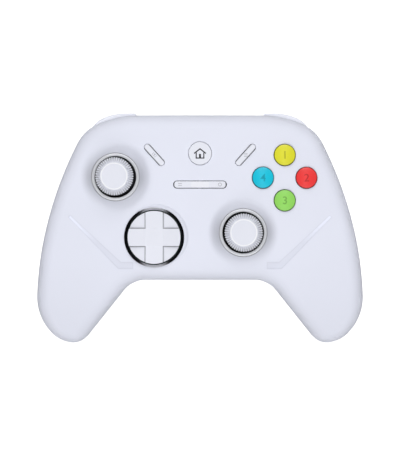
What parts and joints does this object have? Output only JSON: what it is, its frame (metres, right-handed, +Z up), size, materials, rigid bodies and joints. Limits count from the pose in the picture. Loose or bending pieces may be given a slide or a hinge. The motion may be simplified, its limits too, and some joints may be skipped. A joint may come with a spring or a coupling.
{
  "type": "wireless gamepad",
  "caption": "Two-handed wireless gamepad with offset thumb sticks, a direction pad, round face buttons, shoulder bumpers and triggers.",
  "frame": {"origin": "on the surface the gamepad rests on, under the middle of its plan", "axes": "+X to the player's right, +Y away from the player, +Z up out of the face"},
  "size_m": [0.154, 0.108, 0.053],
  "materials": {
    "shell_white": "fine matte moulded plastic",
    "button_white": "satin moulded plastic",
    "black_plastic": "satin black plastic",
    "stick_rubber": "soft pale rubber with a knurled rim",
    "dark_chrome": "polished dark chrome",
    "yellow_cap": "glossy translucent plastic",
    "red_cap": "glossy translucent plastic",
    "green_cap": "glossy translucent plastic",
    "blue_cap": "glossy translucent plastic",
    "bar_plastic": "smooth milky plastic",
    "frame_plastic": "plain moulded plastic",
    "board": "green coated glass-fibre board",
    "steel": "plain bright steel",
    "brass_part": "plain brass",
    "cell_foil": "foil pouch",
    "mat_rubber": "soft silicone"
  },
  "bodies": {
    "housing": {"front_shell": "shell_white", "rear_shell": "shell_white", "shell_screws": "steel", "mid_frame": "frame_plastic", "main_board": "board", "charging_port": "steel", "headset_socket": "black_plastic", "battery_cell": "cell_foil", "left_rumble_motor": "steel", "right_rumble_motor": "steel", "left_stick_ring": "button_white", "right_stick_ring": "button_white", "left_stick_module": "steel", "right_stick_module": "steel", "dpad_ring": "dark_chrome", "dpad_post": "frame_plastic", "dpad_mat": "mat_rubber", "face_button_mat": "mat_rubber", "tact_switches": "black_plastic", "trigger_pins": "steel", "trigger_springs": "steel", "trigger_sensors": "board"},
    "left_plunger": {"left_stick_plunger": "frame_plastic"},
    "left_lower_yoke": {"left_stick_lower_yoke": "frame_plastic"},
    "left_stick": {"left_stick_stem": "frame_plastic", "left_stick_cap": "stick_rubber"},
    "left_upper_yoke": {"left_stick_upper_yoke": "frame_plastic"},
    "right_plunger": {"right_stick_plunger": "frame_plastic"},
    "right_lower_yoke": {"right_stick_lower_yoke": "frame_plastic"},
    "right_stick": {"right_stick_stem": "frame_plastic", "right_stick_cap": "stick_rubber"},
    "right_upper_yoke": {"right_stick_upper_yoke": "frame_plastic"},
    "dpad_rocker": {"dpad_rocker": "frame_plastic"},
    "dpad": {"dpad_cap": "button_white"},
    "face_button_north": {"face_button_north": "yellow_cap"},
    "face_button_east": {"face_button_east": "red_cap"},
    "face_button_south": {"face_button_south": "green_cap"},
    "face_button_west": {"face_button_west": "blue_cap"},
    "view_button": {"view_button": "button_white"},
    "menu_button": {"menu_button": "button_white"},
    "home_button": {"home_button": "button_white"},
    "function_bar": {"function_bar": "bar_plastic"},
    "left_bumper": {"left_bumper": "button_white"},
    "left_trigger": {"left_trigger": "button_white"},
    "left_weight": {"left_rumble_weight": "brass_part"},
    "right_bumper": {"right_bumper": "button_white"},
    "right_trigger": {"right_trigger": "button_white"},
    "right_weight": {"right_rumble_weight": "brass_part"}
  },
  "joints": [
    {"name": "left_stick_click", "type": "slide", "parent": "housing", "child": "left_plunger", "axis": [0, 0, -1], "range_m": [0, 0.0004], "stiffness_N_per_m": 10000, "springref_m": -0.00005},
    {"name": "left_stick_tilt_x", "type": "hinge", "parent": "left_plunger", "child": "left_lower_yoke", "pos_m": [-0.0392, 0.0241, 0.033], "axis": [1, 0, 0], "range_deg": [-18, 18], "stiffness_Nm_per_rad": 0.035},
    {"name": "left_stick_tilt_y", "type": "hinge", "parent": "left_lower_yoke", "child": "left_stick", "pos_m": [-0.0392, 0.0241, 0.033], "axis": [0, 1, 0], "range_deg": [-18, 18], "stiffness_Nm_per_rad": 0.035},
    {"name": "left_upper_yoke_turn", "type": "hinge", "parent": "housing", "child": "left_upper_yoke", "pos_m": [-0.0392, 0.0241, 0.033], "axis": [0, 1, 0], "range_deg": [-18, 18]},
    {"name": "right_stick_click", "type": "slide", "parent": "housing", "child": "right_plunger", "axis": [0, 0, -1], "range_m": [0, 0.0004], "stiffness_N_per_m": 10000, "springref_m": -0.00005},
    {"name": "right_stick_tilt_x", "type": "hinge", "parent": "right_plunger", "child": "right_lower_yoke", "pos_m": [0.02, -0.0017, 0.033], "axis": [1, 0, 0], "range_deg": [-18, 18], "stiffness_Nm_per_rad": 0.035},
    {"name": "right_stick_tilt_y", "type": "hinge", "parent": "right_lower_yoke", "child": "right_stick", "pos_m": [0.02, -0.0017, 0.033], "axis": [0, 1, 0], "range_deg": [-18, 18], "stiffness_Nm_per_rad": 0.035},
    {"name": "right_upper_yoke_turn", "type": "hinge", "parent": "housing", "child": "right_upper_yoke", "pos_m": [0.02, -0.0017, 0.033], "axis": [0, 1, 0], "range_deg": [-18, 18]},
    {"name": "dpad_rock_x", "type": "hinge", "parent": "housing", "child": "dpad_rocker", "pos_m": [-0.0212, -0.0039, 0.03887], "axis": [1, 0, 0], "range_deg": [-4, 4], "stiffness_Nm_per_rad": 0.12},
    {"name": "dpad_rock_y", "type": "hinge", "parent": "dpad_rocker", "child": "dpad", "pos_m": [-0.0212, -0.0039, 0.03887], "axis": [0, 1, 0], "range_deg": [-4, 4], "stiffness_Nm_per_rad": 0.12},
    {"name": "face_button_north_press", "type": "slide", "parent": "housing", "child": "face_button_north", "axis": [0, 0, -1], "range_m": [0, 0.0016], "stiffness_N_per_m": 400, "springref_m": -0.0005},
    {"name": "face_button_east_press", "type": "slide", "parent": "housing", "child": "face_button_east", "axis": [0, 0, -1], "range_m": [0, 0.0016], "stiffness_N_per_m": 400, "springref_m": -0.0005},
    {"name": "face_button_south_press", "type": "slide", "parent": "housing", "child": "face_button_south", "axis": [0, 0, -1], "range_m": [0, 0.0016], "stiffness_N_per_m": 400, "springref_m": -0.0005},
    {"name": "face_button_west_press", "type": "slide", "parent": "housing", "child": "face_button_west", "axis": [0, 0, -1], "range_m": [0, 0.0016], "stiffness_N_per_m": 400, "springref_m": -0.0005},
    {"name": "view_button_press", "type": "slide", "parent": "housing", "child": "view_button", "axis": [0, 0, -1], "range_m": [0, 0.0006], "stiffness_N_per_m": 1500, "springref_m": -0.0002},
    {"name": "menu_button_press", "type": "slide", "parent": "housing", "child": "menu_button", "axis": [0, 0, -1], "range_m": [0, 0.0006], "stiffness_N_per_m": 1500, "springref_m": -0.0002},
    {"name": "home_button_press", "type": "slide", "parent": "housing", "child": "home_button", "axis": [0, 0, -1], "range_m": [0, 0.0006], "stiffness_N_per_m": 1500, "springref_m": -0.0002},
    {"name": "function_bar_rock", "type": "hinge", "parent": "housing", "child": "function_bar", "pos_m": [0, 0.0205, 0.0411], "axis": [0, 1, 0], "range_deg": [-2.5, 2.5], "stiffness_Nm_per_rad": 0.2},
    {"name": "left_bumper_press", "type": "hinge", "parent": "housing", "child": "left_bumper", "pos_m": [-0.027, 0.0464, 0.0315], "axis": [0, 0, 1], "range_deg": [0, 2], "stiffness_Nm_per_rad": 1.2, "springref_deg": -0.57},
    {"name": "left_trigger_pull", "type": "hinge", "parent": "housing", "child": "left_trigger", "pos_m": [-0.039, 0.041, 0.025], "axis": [-1, 0, 0], "range_deg": [0, 17], "stiffness_Nm_per_rad": 0.06, "springref_deg": -11.46},
    {"name": "left_weight_spin", "type": "hinge", "parent": "housing", "child": "left_weight", "pos_m": [-0.057, -0.036, 0.0165], "axis": [0, 1, 0], "continuous": true},
    {"name": "right_bumper_press", "type": "hinge", "parent": "housing", "child": "right_bumper", "pos_m": [0.027, 0.0464, 0.0315], "axis": [0, 0, -1], "range_deg": [0, 2], "stiffness_Nm_per_rad": 1.2, "springref_deg": -0.57},
    {"name": "right_trigger_pull", "type": "hinge", "parent": "housing", "child": "right_trigger", "pos_m": [0.039, 0.041, 0.025], "axis": [-1, 0, 0], "range_deg": [0, 17], "stiffness_Nm_per_rad": 0.06, "springref_deg": -11.46},
    {"name": "right_weight_spin", "type": "hinge", "parent": "housing", "child": "right_weight", "pos_m": [0.057, -0.036, 0.0165], "axis": [0, 1, 0], "continuous": true}
  ],
  "couplings": [
    {"joint": "left_upper_yoke_turn", "follows": "left_stick_tilt_y", "ratio": 1},
    {"joint": "right_upper_yoke_turn", "follows": "right_stick_tilt_y", "ratio": 1}
  ]
}
